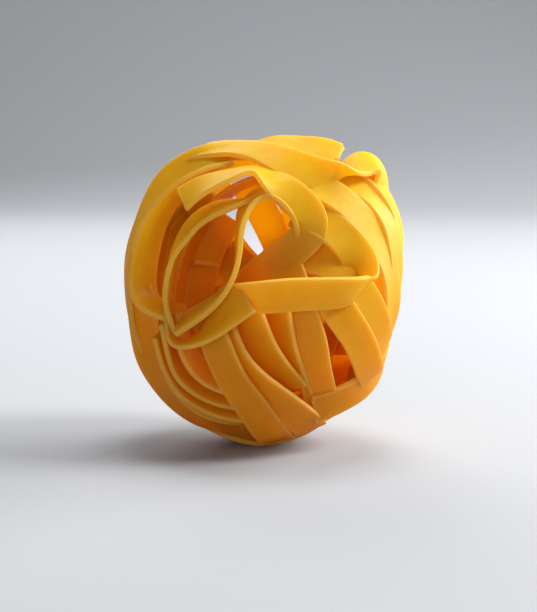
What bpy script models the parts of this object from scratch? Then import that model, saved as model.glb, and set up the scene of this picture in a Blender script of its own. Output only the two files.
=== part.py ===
"""A nest of dry pasta: one long tangle of flat ribbons, dried into a loose ball.

The nest is one solid.  Its body is a lumpy ball, hollow inside and open at the front,
and the ribbons that can be seen from outside lie on that body and cross its mouth.
Metres, +Z up, the mouth faces -Y.  The ball rests on a small pressed flat.

Places on the ball are given as longitude (degrees from the front, positive to +X),
latitude (degrees up from the middle) and lift (1 is the nominal outer surface).
"""

import math

import bmesh
import bpy
import numpy as np

# ---- driving dimensions --------------------------------------------------------------

NEST_NAME = "pasta_nest"

HALF_WIDTH = 0.0306          # nominal ball, half sizes along X, Y and Z
HALF_DEPTH = 0.0255
HALF_HEIGHT = 0.0338
CENTRE_X = -0.0006
CENTRE_Y = 0.0008
CENTRE_Z = 0.0342            # the lowest ribbons are pressed flat at z = 0

RIBBON_WIDTH = 0.0073
RIBBON_THICKNESS = 0.0015
STEPS_PER_SPAN = 2           # sections of a ribbon between two of its stations

CORE_LIFT = 0.90             # the body under the ribbons
CORE_FOOT_LIFT = 1.06        # it bulges down to the resting flat
CORE_LUMP = 0.018
CORE_WAVES = (3, 4, 0.0), (5, -3, 1.0)    # each: waves round, waves up, phase in radians
CORE_FOOT_START = 0.86       # how far down (1 is the lowest point) the bulge begins
CORE_FOOT_POWER = 0.7        # below 1 the bulge comes quickly, so the flat is broad
CORE_SEGMENTS = 28
CORE_RINGS = 16
WALL = 0.0058                # thickness of the tangle round the hollow

MOUTH_CENTRE = (-0.0078, 0.0415)       # X and Z of the front opening
MOUTH_HALF = (0.0135, 0.0150)
WINDOW_CENTRE = (-0.0122, 0.0166)      # X and Z of the small gap low on the left
WINDOW_HALF = (0.0062, 0.0054)
OPENING_SIDES = 18

PASTA_COLOUR = (0.83, 0.50, 0.085, 1.0)
PASTA_ROUGHNESS = 0.5

CENTRE = np.array([CENTRE_X, CENTRE_Y, CENTRE_Z])
HALF = np.array([HALF_WIDTH, HALF_DEPTH, HALF_HEIGHT])

# ---- the ribbons ---------------------------------------------------------------------
# Stations: longitude, latitude, lift, lean.  Lean 0 lies flat on the ball, 90 stands
# on edge, and a positive lean raises the edge on the left of the way it runs.  Each list
# is one ribbon's route from end to end; a ribbon with a sharp fold is given in two lists.

RIBBONS = {
    # over the top, and the fold at the upper right
    "cover_top": [
        (-90, 58, 0.98, 0), (-78, 65, 1.00, 4), (-42, 73, 0.97, 0), (0, 68, 0.98, 5),
        (15, 60, 0.99, 12), (30, 53, 0.99, 20), (42, 48, 1.00, 25), (58, 49, 1.01, 18),
        (72, 50, 1.02, 5),
    ],
    "cover_fold": [
        (82, 57, 1.04, 5), (90, 50, 1.09, 5), (94, 43, 1.08, 15), (95, 35, 1.03, 20),
        (96, 26, 0.98, 25),
    ],
    "crown_behind": [
        (-60, 74, 0.95, 5), (-10, 82, 0.94, 12), (55, 82, 0.95, 22), (78, 72, 0.97, 32),
        (84, 63, 1.01, 40), (86, 58, 1.03, 40),
    ],
    # down the left side
    "left_shoulder": [
        (-86, -12, 0.95, 2), (-85, 10, 0.97, 4), (-83, 28, 0.98, 8), (-80, 42, 0.99, 22),
        (-75, 53, 0.99, 28), (-62, 63, 0.98, 24), (-45, 71, 0.94, 20),
    ],
    "left_collar": [
        (-44, 70, 0.90, 15), (-58, 56, 0.92, 35), (-67, 42, 0.92, 50), (-71, 25, 0.91, 62),
        (-71, 8, 0.89, 70), (-66, -2, 0.88, 78), (-52, -6, 0.84, 92), (-42, 0, 0.72, 105),
    ],
    "hip_left": [
        (-76, 4, 0.89, -30), (-77, -12, 0.88, -48), (-75, -26, 0.92, -42),
        (-70, -40, 0.96, -18), (-60, -54, 0.97, -8), (-45, -64, 0.95, -10),
        (-20, -72, 0.93, -20), (20, -73, 0.92, -26), (46, -66, 0.92, -26),
    ],
    # across the mouth
    "flag": [
        (-42, 38, 1.02, -5), (-32, 43, 1.04, -18), (-18, 48, 1.03, -38), (-5, 52, 1.00, -48),
        (5, 60, 0.94, -40),
    ],
    "bend_top": [
        (-6, 54, 0.92, -10), (6, 50, 0.96, -5), (15, 45, 0.97, 0), (22, 40, 0.95, 8),
        (28, 34, 0.93, 8),
    ],
    "bend_dive": [
        (28, 35, 0.88, 12), (25, 29, 0.86, 18), (20, 27, 0.80, 15), (10, 22, 0.72, 10),
        (-2, 14, 0.64, 5),
    ],
    "loop_inner": [
        (17, 39, 0.90, 50), (9, 45, 0.93, 42), (0, 46, 0.93, 42), (-8, 40, 0.92, 54),
        (-10, 29, 0.91, 74), (-10, 18, 0.91, 78), (-12, 10, 0.92, 78), (-17, 3, 0.94, 74),
        (-25, -3, 0.96, 68), (-37, -9, 0.95, 62),
    ],
    "loop_outer": [
        (-42, -12, 0.90, -52), (-46, -2, 0.90, -52), (-46, 8, 0.90, -50), (-45, 18, 0.90, -42),
        (-40, 27, 0.91, -34), (-33, 34, 0.92, -35), (-23, 39, 0.92, -38), (-12, 44, 0.89, -50),
        (-2, 50, 0.84, -60),
    ],
    "tongue": [
        (-5, 3, 1.03, 25), (-12, -2, 1.03, 32), (-19, -7, 1.02, 48), (-27, -12, 0.99, 75),
        (-36, -16, 0.94, 108), (-44, -14, 0.90, 130), (-50, -8, 0.85, 140), (-54, -1, 0.78, 140),
    ],
    "hairpin_upper": [
        (22, 38, 0.84, 10), (28, 31, 0.89, 10), (34, 25, 0.95, 10), (40, 19, 0.97, 10),
        (47, 11, 0.97, 5),
    ],
    "hairpin_lower": [
        (47, 7, 0.98, 170), (37, 5, 1.05, 155), (26, 4, 1.07, 155), (12, 4, 1.08, 158),
        (0, 3, 1.04, 160), (-9, 2, 0.92, 160),
    ],
    # the lower front
    "fall_left": [
        (-26, -4, 0.88, 10), (-20, -13, 0.95, 12), (-16, -22, 0.98, 10), (-12, -30, 1.00, 5),
        (-7, -38, 1.00, 0), (-1, -48, 1.00, -5), (8, -60, 1.00, -8), (20, -72, 0.98, -8),
    ],
    "fall_mid": [
        (-15, -15, 0.90, 28), (-10, -23, 0.94, 24), (-2, -31, 0.96, 20), (9, -39, 0.98, 14),
        (21, -47, 0.99, 8), (38, -57, 0.99, 0), (60, -65, 0.98, 0),
    ],
    "post": [
        (18, -2, 0.84, 28), (22, -15, 0.92, 26), (26, -27, 0.94, 22), (33, -38, 0.94, 14),
        (43, -48, 0.92, 5),
    ],
    "hem_right": [
        (33, -46, 0.98, -15), (42, -43, 0.99, -12), (55, -38, 1.00, -12), (70, -33, 1.00, -12),
        (90, -26, 0.99, -10), (110, -18, 0.97, -5),
    ],
    "strap_right": [
        (30, 2, 0.95, 5), (37, -7, 0.98, 5), (44, -14, 0.99, 5), (52, -22, 1.00, 5),
        (65, -31, 1.00, 5), (84, -37, 0.95, 0), (100, -41, 0.92, 0),
    ],
    "cheek_right": [
        (36, 14, 0.91, 0), (45, 5, 0.94, 5), (52, -3, 0.96, 8), (60, -12, 0.97, 8),
        (72, -20, 0.96, 5), (86, -26, 0.94, 0),
    ],
    # the three that run down the right side
    "side_front": [
        (36, 52, 0.95, 10), (47, 44, 0.98, 10), (54, 36, 1.00, 8), (59, 28, 1.00, 6),
        (64, 20, 1.00, 5), (68, 11, 0.99, 5), (70, 0, 0.98, 5), (73, -12, 0.96, 5),
        (82, -26, 0.93, 0), (92, -36, 0.90, 0),
    ],
    "side_mid": [
        (70, 48, 0.98, 10), (75, 37, 1.05, 8), (76, 27, 1.06, 8), (77, 18, 1.03, 8),
        (77, 9, 0.99, 8), (78, -2, 0.96, 8), (82, -14, 0.95, 8), (92, -28, 0.94, 5),
        (108, -42, 0.92, 0),
    ],
    "side_back": [
        (95, 52, 1.00, 30), (88, 44, 1.06, 12), (87, 35, 1.09, 8), (87, 26, 1.08, 12),
        (89, 17, 1.03, 12), (89, 8, 0.98, 8), (90, -2, 0.95, 6), (92, -14, 0.97, 8),
        (98, -28, 0.95, 10), (110, -42, 0.93, 5),
    ],
}

# The back was coiled round the nest's own front-to-back axis.  A hoop is a part of such
# a turn: turn angle from the front, first and last clock angle (0 at the top, positive
# to +X), lift, lean and how far it wanders from its turn angle, all in degrees.

HOOPS = {
    "hoop_waist": (104, -150, 70, 0.97, 8, 7),
    "hoop_back_outer": (122, -60, 215, 0.98, -6, 8),
    "hoop_back_mid": (140, 95, 330, 0.97, 10, 7),
    "hoop_back_inner": (158, -30, 190, 0.95, -8, 9),
}
HOOP_STATIONS = 9
HOOP_WAVES = 1.5

BACK_RIBBONS = {
    "back_cross": [
        (108, 44, 0.97, 10), (128, 34, 1.00, 6), (150, 20, 1.03, 0), (172, 4, 1.04, -4),
        (194, -14, 1.03, -6), (214, -32, 1.00, -4), (236, -46, 0.97, 0),
    ],
    "back_lean": [
        (208, 62, 0.98, -8), (204, 44, 1.00, -6), (194, 24, 1.02, 0), (180, 6, 1.00, 6),
        (160, -12, 1.00, 8), (144, -30, 1.00, 6), (130, -48, 0.98, 0),
    ],
    "back_low": [
        (112, -34, 0.98, 4), (134, -44, 1.00, 0), (162, -50, 1.00, -4), (190, -46, 1.00, 0),
        (218, -34, 1.00, 6), (238, -18, 0.98, 8), (256, -4, 0.96, 4),
    ],
}


# ---- geometry ------------------------------------------------------------------------

def ball_points(lon, lat, lift):
    """Points at a longitude, latitude (degrees) and lift on the nominal ball."""
    lon, lat = np.radians(lon), np.radians(lat)
    unit = np.stack([np.sin(lon) * np.cos(lat), -np.cos(lon) * np.cos(lat), np.sin(lat)], axis=-1)
    return CENTRE + np.asarray(lift)[..., None] * HALF * unit


def ball_normals(points):
    """Outward directions of the ball-shaped surfaces through the points."""
    slope = (points - CENTRE) / HALF ** 2
    return slope / np.linalg.norm(slope, axis=-1, keepdims=True)


def smooth_row(values, steps):
    """Catmull-Rom curve through the rows of values, steps samples in each span."""
    rows = np.vstack([2 * values[0] - values[1], values, 2 * values[-1] - values[-2]])
    t = np.linspace(0.0, 1.0, steps, endpoint=False)[:, None]
    spans = []
    for a, b, c, d in zip(rows, rows[1:], rows[2:], rows[3:]):
        spans.append(0.5 * (2 * b + (c - a) * t + (2 * a - 5 * b + 4 * c - d) * t ** 2
                            + (3 * b - a - 3 * c + d) * t ** 3))
    spans.append(values[-1:])
    return np.vstack(spans)


def hoop_route(turn, clock_start, clock_end, lift, lean, wander):
    """Stations of a hoop: a wandering circle round the front-to-back axis."""
    clock = np.linspace(clock_start, clock_end, HOOP_STATIONS)
    theta = np.radians(turn + wander * np.sin(np.radians(HOOP_WAVES * clock)))
    phi = np.radians(clock)
    x, y, z = np.sin(theta) * np.sin(phi), -np.cos(theta), np.sin(theta) * np.cos(phi)
    lon = np.degrees(np.arctan2(x, -y))
    lat = np.degrees(np.arcsin(z))
    return [(a, b, lift, lean) for a, b in zip(lon, lat)]


def ribbon_frame(stations):
    """Centre line, width direction and face direction along a ribbon."""
    table = np.array(stations, dtype=float)
    centre = smooth_row(ball_points(table[:, 0], table[:, 1], table[:, 2]), STEPS_PER_SPAN)
    lean = np.radians(smooth_row(table[:, 3:], STEPS_PER_SPAN))
    along = np.gradient(centre, axis=0)
    along /= np.linalg.norm(along, axis=1, keepdims=True)
    across = np.cross(ball_normals(centre), along)
    across /= np.linalg.norm(across, axis=1, keepdims=True)
    outward = np.cross(along, across)
    width = np.cos(lean) * across + np.sin(lean) * outward
    return centre, width, np.cross(along, width)


def link(mesh, name, collection, is_cutter):
    """Put a mesh into the scene as a named object; a cutter is drawn as wire."""
    thing = bpy.data.objects.new(name, mesh)
    collection.objects.link(thing)
    if is_cutter:
        thing.hide_render = True
        thing.display_type = "WIRE"
    return thing


def add_ribbon(name, stations, collection):
    """Loft a closed rectangular section along a ribbon's route."""
    centre, width, face = ribbon_frame(stations)
    half_w, half_t = width * RIBBON_WIDTH / 2, face * RIBBON_THICKNESS / 2
    corners = np.stack([centre + half_w + half_t, centre - half_w + half_t,
                        centre - half_w - half_t, centre + half_w - half_t], axis=1)
    bm = bmesh.new()
    rings = [[bm.verts.new(corner) for corner in ring] for ring in corners]
    for ring, following in zip(rings, rings[1:]):
        for side in range(4):
            nxt = (side + 1) % 4
            bm.faces.new((ring[side], ring[nxt], following[nxt], following[side]))
    bm.faces.new(rings[0][::-1])
    bm.faces.new(rings[-1])
    bmesh.ops.recalc_face_normals(bm, faces=bm.faces)
    bmesh.ops.triangulate(bm, faces=bm.faces)
    mesh = bpy.data.meshes.new(name)
    bm.to_mesh(mesh)
    bm.free()
    return link(mesh, name, collection, is_cutter=True)


def ball_mesh(name, segments, rings, place):
    """A primitive sphere whose vertices are moved by place(unit vectors)."""
    bm = bmesh.new()
    bmesh.ops.create_uvsphere(bm, u_segments=segments, v_segments=rings, radius=1.0)
    unit = np.array([vert.co[:] for vert in bm.verts])
    for vert, point in zip(bm.verts, place(unit)):
        vert.co = point
    mesh = bpy.data.meshes.new(name)
    bm.to_mesh(mesh)
    bm.free()
    return mesh


def core_surface(unit):
    """The lumpy outside of the tangle, bulging downwards to the resting flat."""
    azimuth = np.arctan2(unit[:, 0], -unit[:, 1])
    polar = np.arcsin(np.clip(unit[:, 2], -1.0, 1.0))
    lumps = sum(np.sin(around * azimuth + upward * polar + phase)
                for around, upward, phase in CORE_WAVES) * np.cos(polar)
    foot = np.clip((-unit[:, 2] - CORE_FOOT_START) / (1.0 - CORE_FOOT_START), 0.0, 1.0)
    lift = (CORE_LIFT + CORE_LUMP * lumps
            + (CORE_FOOT_LIFT - CORE_LIFT) * foot ** CORE_FOOT_POWER)
    return CENTRE + lift[:, None] * HALF * unit


def hollow_surface(unit):
    """The inside of the tangle, one wall thickness inside the body."""
    return CENTRE + (HALF * CORE_LIFT - WALL) * unit


def add_opening(name, centre, half, depth, collection):
    """An oval hole cutter along Y, from in front of the nest back to depth."""
    front = -2 * HALF_DEPTH
    bm = bmesh.new()
    bmesh.ops.create_cone(bm, cap_ends=True, segments=OPENING_SIDES, radius1=1.0, radius2=1.0, depth=1.0)
    for vert in bm.verts:
        x, y, z = vert.co
        vert.co = (centre[0] + half[0] * x, (front + depth) / 2 + (depth - front) * z,
                   centre[1] - half[1] * y)
    bmesh.ops.recalc_face_normals(bm, faces=bm.faces)
    mesh = bpy.data.meshes.new(name)
    bm.to_mesh(mesh)
    bm.free()
    return link(mesh, name, collection, is_cutter=True)


def add_ground(collection):
    """A block whose top is the surface that the nest rests on."""
    side = 4 * HALF_HEIGHT
    bm = bmesh.new()
    bmesh.ops.create_cube(bm, size=side)
    bmesh.ops.translate(bm, verts=bm.verts, vec=(0.0, 0.0, -side / 2))
    mesh = bpy.data.meshes.new("ground")
    bm.to_mesh(mesh)
    bm.free()
    return link(mesh, "ground", collection, is_cutter=True)


def pasta_material():
    """Plain golden semolina pasta."""
    material = bpy.data.materials.new("dry_pasta")
    material.use_nodes = True
    shader = material.node_tree.nodes["Principled BSDF"]
    shader.inputs["Base Color"].default_value = PASTA_COLOUR
    shader.inputs["Roughness"].default_value = PASTA_ROUGHNESS
    shader.inputs["Metallic"].default_value = 0.0
    material.diffuse_color = PASTA_COLOUR
    return material


def add_boolean(thing, name, operation, cutter=None, cutters=None, own=False):
    """Cut or join with an object, or with all the objects of a collection."""
    modifier = thing.modifiers.new(name, "BOOLEAN")
    modifier.operation = operation
    modifier.solver = "EXACT"
    modifier.use_self = own
    if cutters is not None:
        modifier.operand_type = "COLLECTION"
        modifier.collection = cutters
    else:
        modifier.object = cutter


def new_collection(name, parent):
    """A collection inside a parent collection."""
    collection = bpy.data.collections.new(name)
    parent.children.link(collection)
    return collection


def build():
    """Make the nest: hollow body, openings, ribbons, resting flat."""
    for thing in list(bpy.data.objects):
        bpy.data.objects.remove(thing, do_unlink=True)
    scene_root = bpy.context.scene.collection
    parts = new_collection("dry_pasta_nest", scene_root)
    cutters = new_collection("cutters", scene_root)
    ribbons = new_collection("ribbons", cutters)

    routes = dict(RIBBONS)
    routes.update(BACK_RIBBONS)
    for name, hoop in HOOPS.items():
        routes[name] = hoop_route(*hoop)
    for name, stations in routes.items():
        add_ribbon(name, stations, ribbons)

    hollow = link(ball_mesh("hollow", CORE_SEGMENTS, CORE_RINGS, hollow_surface), "hollow", cutters, True)
    mouth = add_opening("mouth", MOUTH_CENTRE, MOUTH_HALF, 0.0, cutters)
    window = add_opening("window", WINDOW_CENTRE, WINDOW_HALF, 0.0, cutters)
    ground = add_ground(cutters)

    nest = link(ball_mesh(NEST_NAME, CORE_SEGMENTS, CORE_RINGS, core_surface), NEST_NAME, parts, False)
    nest.data.materials.append(pasta_material())
    for cutter in (hollow, mouth, window):
        add_boolean(nest, "open_" + cutter.name, "DIFFERENCE", cutter=cutter)
    nest.modifiers.new("even_faces", "TRIANGULATE")
    add_boolean(nest, "join_ribbons", "UNION", cutters=ribbons, own=True)
    add_boolean(nest, "rest_flat", "DIFFERENCE", cutter=ground)


build()
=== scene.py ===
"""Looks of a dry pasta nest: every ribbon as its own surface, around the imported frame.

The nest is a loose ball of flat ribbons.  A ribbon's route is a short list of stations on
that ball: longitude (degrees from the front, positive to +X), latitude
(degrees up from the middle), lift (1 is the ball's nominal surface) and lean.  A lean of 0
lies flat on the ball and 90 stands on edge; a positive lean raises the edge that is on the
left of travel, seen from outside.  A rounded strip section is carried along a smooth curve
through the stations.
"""

import logging
import math
from dataclasses import dataclass
from enum import Enum

import bpy
import numpy as np
from mathutils import Matrix, Vector


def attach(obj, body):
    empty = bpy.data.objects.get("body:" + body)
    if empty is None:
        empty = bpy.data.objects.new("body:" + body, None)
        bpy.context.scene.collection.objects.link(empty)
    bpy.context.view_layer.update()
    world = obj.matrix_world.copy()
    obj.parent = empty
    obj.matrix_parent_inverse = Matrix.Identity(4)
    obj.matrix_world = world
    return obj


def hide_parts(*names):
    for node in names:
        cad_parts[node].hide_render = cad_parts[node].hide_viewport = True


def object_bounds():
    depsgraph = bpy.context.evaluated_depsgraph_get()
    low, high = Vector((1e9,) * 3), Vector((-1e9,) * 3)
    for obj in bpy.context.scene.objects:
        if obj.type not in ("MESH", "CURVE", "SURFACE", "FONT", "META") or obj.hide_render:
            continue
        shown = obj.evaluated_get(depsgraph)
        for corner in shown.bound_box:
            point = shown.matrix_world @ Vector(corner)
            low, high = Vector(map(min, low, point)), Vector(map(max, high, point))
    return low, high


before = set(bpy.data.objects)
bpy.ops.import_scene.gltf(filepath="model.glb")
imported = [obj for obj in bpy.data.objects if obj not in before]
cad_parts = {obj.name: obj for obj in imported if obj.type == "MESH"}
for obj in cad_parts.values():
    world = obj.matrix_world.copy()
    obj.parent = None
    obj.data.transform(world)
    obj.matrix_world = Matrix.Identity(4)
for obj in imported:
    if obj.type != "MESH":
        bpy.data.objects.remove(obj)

LOG = logging.getLogger("pasta_nest")
CAD_BOX = [list(corner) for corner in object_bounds()]
NODE = "pasta_nest"
BODY = "root"
SEEDS_PER_GROUP = 40

TINY = 1e-12

Stations = tuple[tuple[float, float, float, float], ...]
Array = np.ndarray
FourArrays = tuple[Array, Array, Array, Array]
Pair = tuple[float, float]
Triple = tuple[float, float, float]
Colour = Triple
Socket = bpy.types.NodeSocket
Paint = Socket | Colour


# ---- the ball that the stations are measured on

@dataclass(frozen=True)
class Ball:
    """The nominal ball inside the nest's outline, in metres."""

    centre: Triple = (-0.0006, 0.0008, 0.0342)
    half: Triple = (0.0306, 0.0255, 0.0338)

    def points(self, lon: Array, lat: Array, lift: Array) -> Array:
        """Places on the ball.

        Formula: centre + lift * half * (sin lon cos lat, -cos lon cos lat, sin lat).

        Args:
            lon: Longitudes in degrees.
            lat: Latitudes in degrees.
            lift: Shares of the nominal radius.

        Returns:
            An array of points, one row each.
        """
        lon, lat = np.radians(lon), np.radians(lat)
        unit = np.stack([np.sin(lon) * np.cos(lat), -np.cos(lon) * np.cos(lat), np.sin(lat)], axis=-1)
        return np.array(self.centre) + np.asarray(lift)[..., None] * np.array(self.half) * unit

    def normals(self, points: Array) -> Array:
        """Outward directions.

        Formula: the gradient of the ball's own quadratic, made unit length.

        Args:
            points: Places, one row each.

        Returns:
            A unit row for each place.
        """
        return unit_rows((points - np.array(self.centre)) / np.array(self.half) ** 2)


BALL = Ball()


# ---- curve helpers

def unit_rows(rows: Array) -> Array:
    """Scale rows to unit length.

    Args:
        rows: Vectors along the last axis.

    Returns:
        The same vectors, each of length 1.
    """
    return rows / np.maximum(np.linalg.norm(rows, axis=-1, keepdims=True), TINY)


def through(values: Array, samples: int) -> Array:
    """A smooth curve through rows of values.

    Formula: the Catmull-Rom cubic of each span, from its two ends and their neighbours.

    Args:
        values: One row for each station.
        samples: Samples in each span.

    Returns:
        The sampled rows, the last station included.
    """
    rows = np.vstack([2 * values[0] - values[1], values, 2 * values[-1] - values[-2]])
    a, b, c, d = (rows[i:len(rows) - 3 + i, None, :] for i in range(4))
    t = np.linspace(0.0, 1.0, samples, endpoint=False)[None, :, None]
    spans = 0.5 * (2 * b + (c - a) * t + (2 * a - 5 * b + 4 * c - d) * t ** 2
                   + (3 * b - a - 3 * c + d) * t ** 3)
    return np.vstack([spans.reshape(-1, values.shape[1]), values[-1:]])


def lengths(points: Array) -> Array:
    """Measure the distance travelled along a row of points.

    Args:
        points: The points, one row each.

    Returns:
        The distance at each point, 0 at the first.
    """
    return np.concatenate([[0.0], np.cumsum(np.linalg.norm(np.diff(points, axis=0), axis=1))])


def evenly(rows: Array, travelled: Array, count: int) -> Array:
    """Resample rows at equal steps of the distance travelled.

    Args:
        rows: The rows to resample.
        travelled: The distance at each row.
        count: How many rows to give back.

    Returns:
        The resampled rows.
    """
    at = np.linspace(0.0, travelled[-1], count)
    return np.stack([np.interp(at, travelled, column) for column in rows.T], axis=1)


def relaxed(rows: Array, passes: int) -> Array:
    """Smooth rows by a running average, with the two ends kept.

    Formula: in each pass a row becomes a quarter of the one before, half of itself and a
    quarter of the one after.

    Args:
        rows: The rows to smooth.
        passes: How many times.

    Returns:
        The smoothed rows.
    """
    for _ in range(passes):
        inner = 0.25 * rows[:-2] + 0.5 * rows[1:-1] + 0.25 * rows[2:]
        rows = np.vstack([rows[:1], inner, rows[-1:]])
    return rows


def with_ends_copied(rows: Array) -> Array:
    """Repeat the first and the last row twice each, for the rings that close an end.

    Args:
        rows: The rows of a ribbon's sections.

    Returns:
        The rows with two more at each end.
    """
    return np.concatenate([rows[:1], rows[:1], rows, rows[-1:], rows[-1:]])


def smoothstep(low: float, high: float, value: Array) -> Array:
    """Ease from 0 to 1.

    Formula: 0 below low, 1 above high, and 3t^2 - 2t^3 between them.

    Args:
        low: Where the rise begins.
        high: Where it ends.
        value: The values to ease.

    Returns:
        The eased values.
    """
    t = np.clip((value - low) / (high - low), 0.0, 1.0)
    return t * t * (3.0 - 2.0 * t)


# ---- one ribbon

class End(Enum):
    """How a ribbon stops."""

    BURIED = "buried"
    CUT = "cut"
    BROKEN = "broken"


@dataclass(frozen=True)
class Strip:
    """The section of a pasta ribbon, in metres."""

    width: float = 0.0073
    thickness: float = 0.0011
    corner: float = 0.00030
    rim: float = 0.00003
    corner_points: int = 5
    face_points: int = 7

    def outline(self) -> FourArrays:
        """The section's outline, counter-clockwise from the right side's middle.

        Formula: a point is side * (half size - corner) + corner * (cos, sin); on the two
        faces the side value runs evenly across and the corner adds height only.

        Returns:
            Side values across and through, and corner cosines and sines.
        """
        turn = np.radians(np.linspace(0.0, 90.0, self.corner_points))
        face = np.linspace(1.0, -1.0, self.face_points + 2)[1:-1]
        across = np.concatenate([np.ones(self.corner_points), face, -np.ones(self.corner_points)])
        cosine = np.concatenate([np.cos(turn), np.zeros(self.face_points), -np.cos(turn[::-1])])
        sine = np.concatenate([np.sin(turn), np.ones(self.face_points), np.sin(turn[::-1])])
        upper = np.ones(len(across))
        return (np.concatenate([across, across[::-1]]), np.concatenate([upper, -upper]),
                np.concatenate([cosine, cosine[::-1]]), np.concatenate([sine, -sine[::-1]]))


@dataclass
class Ribbon:
    """One flat ribbon along its stations; lengths in metres, swings as shares of a size."""

    name: str
    stations: Stations
    start: End = End.BURIED
    finish: End = End.BURIED
    strip: Strip = Strip()
    slant: float = 0.0
    cup: float = 0.00010
    seed: int = 0

    STEP = 0.0004
    SPAN_SAMPLES = 24
    RELAX_PASSES = 14
    RIM_POWER = 5
    RUFFLE = 0.00016
    RUFFLE_POWER = 3
    WIDTH_SWING = 0.022
    THICK_SWING = 0.06
    JAG = 0.00035
    END_BEVEL = 0.00016
    BEVEL_LIMIT = 0.4
    FLOOR = 0.00008
    LEAST_SECTIONS = 8
    SHORTEST_WAVE = 0.011
    OCTAVES = 3
    PERIOD_STEP = 0.9
    PERIOD_SPREAD = 0.5
    CUP_REST = 0.4
    CUT_FADE = 0.0005
    SLIDE_REACH = 0.0022
    SLIDE_RATES = (3.1, 7.7, 15.0)
    BROKEN_JAG = 2.4
    CUT_JAG = 0.5
    EDGE_BEGINS = 0.86
    MAP_LENGTH = 0.01
    CAP_RINGS = ((0.3, 0.75), (1.0, 1.0))
    WAVE_SEED_STEP = 17
    SLIDE_SEED = 500
    TONE_SEED = 900

    def course(self) -> FourArrays:
        """The ribbon's centre line and its directions.

        Formula: at each station the width direction is cos(lean) * across + sin(lean) *
        outward; centres and width directions are carried by the same smooth curve.

        Returns:
            Centres, width directions, face directions and distances travelled.
        """
        table = np.array(self.stations, dtype=float)
        knots = BALL.points(table[:, 0], table[:, 1], table[:, 2])
        ahead = unit_rows(np.gradient(knots, axis=0))
        across = unit_rows(np.cross(BALL.normals(knots), ahead))
        outward = np.cross(ahead, across)
        lean = np.radians(table[:, 3:])
        wide = np.cos(lean) * across + np.sin(lean) * outward
        same = np.where(np.sum(wide[1:] * wide[:-1], axis=1) < 0.0, -1.0, 1.0)
        wide *= np.concatenate([[1.0], np.cumprod(same)])[:, None]
        rows = through(np.hstack([knots, wide]), self.SPAN_SAMPLES)
        travelled = lengths(rows[:, :3])
        count = max(int(travelled[-1] / self.STEP), self.LEAST_SECTIONS)
        rows = relaxed(evenly(rows, travelled, count), self.RELAX_PASSES)
        centre = rows[:, :3]
        along = unit_rows(np.gradient(centre, axis=0))
        width = rows[:, 3:] - np.sum(rows[:, 3:] * along, axis=1, keepdims=True) * along
        width = unit_rows(width)
        return centre, width, np.cross(along, width), lengths(centre)

    def waves(self, travelled: Array, count: int, shortest: float) -> Array:
        """Slow unevenness along the ribbon.

        Formula: a third of the sum of three sines, each of a longer period than the last,
        with seeded periods and phases.

        Args:
            travelled: Distance travelled of each section.
            count: How many separate waves to make.
            shortest: The shortest period, in metres.

        Returns:
            One row of values from -1 to 1 for each wave.
        """
        rng = np.random.default_rng(self.seed * self.WAVE_SEED_STEP + count)
        total = np.zeros((count, len(travelled)))
        for octave in range(self.OCTAVES):
            spread = self.PERIOD_SPREAD * rng.random((count, 1))
            period = shortest * (1.0 + self.PERIOD_STEP * octave + spread)
            phase = 2 * math.pi * rng.random((count, 1))
            total += np.sin(2 * math.pi * travelled[None, :] / period + phase) / self.OCTAVES
        return total

    def surface(self) -> FourArrays:
        """The strip section carried along the course.

        Formula: centre + x * width direction + y * face direction, where x and y are the
        outline's, the edges ruffle by the cube of their place across, and the middle sinks
        by the square of it.

        Returns:
            Points (section, outline, 3), place across from -1 to 1, distance travelled, and
            how near each point is to a cut end.
        """
        centre, width, face, travelled = self.course()
        swing_w, swing_t, ruffle_r, ruffle_l = self.waves(travelled, 4, self.SHORTEST_WAVE)
        half_w = self.strip.width / 2 * (1.0 + self.WIDTH_SWING * swing_w)
        half_t = self.strip.thickness / 2 * (1.0 + self.THICK_SWING * swing_t)
        side, level, cosine, sine = self.strip.outline()
        corner = self.strip.corner
        x = side[None] * (half_w[:, None] - corner) + corner * cosine[None]
        y = level[None] * (half_t[:, None] - corner) + corner * sine[None]
        place = x / half_w[:, None]
        y = y * (1.0 + self.strip.rim / (self.strip.thickness / 2) * np.abs(place) ** self.RIM_POWER)
        ruffle = np.where(place > 0.0, ruffle_r[:, None], ruffle_l[:, None])
        ruffle = ruffle * np.abs(place) ** self.RUFFLE_POWER
        y = y + self.RUFFLE * ruffle + self.cup * (place ** 2 - self.CUP_REST)
        slide = self.end_slide(travelled, place)
        along = np.cross(width, face)
        points = (centre[:, None] + x[..., None] * width[:, None] + y[..., None] * face[:, None]
                  + slide[..., None] * along[:, None])
        points[..., 2] = np.maximum(points[..., 2], self.FLOOR)
        cut = self.cut_share(travelled)
        return points, place, travelled, np.broadcast_to(cut[:, None], place.shape)

    def end_slide(self, travelled: Array, place: Array) -> Array:
        """How far points slide along the ribbon, to make a cut end slanted and uneven.

        Formula: near a free end, slant * place plus a jag made of three sines across.

        Args:
            travelled: Distance travelled of each section.
            place: Place across of each point, -1 to 1.

        Returns:
            The slide of each point, in metres.
        """
        rng = np.random.default_rng(self.seed + self.SLIDE_SEED)
        slide = np.zeros_like(place)
        for kind, gap in ((self.start, travelled), (self.finish, travelled[-1] - travelled)):
            if kind is End.BURIED:
                continue
            near = np.clip(1.0 - gap / self.SLIDE_REACH, 0.0, 1.0) ** 2
            jag = self.JAG * (self.BROKEN_JAG if kind is End.BROKEN else self.CUT_JAG)
            phase = 2 * math.pi * rng.random(3)
            wave = sum(np.sin(place * rate + shift) / rate ** 0.4
                       for rate, shift in zip(self.SLIDE_RATES, phase))
            slide += near[:, None] * (self.slant * place + jag * wave)
        return slide

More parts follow.
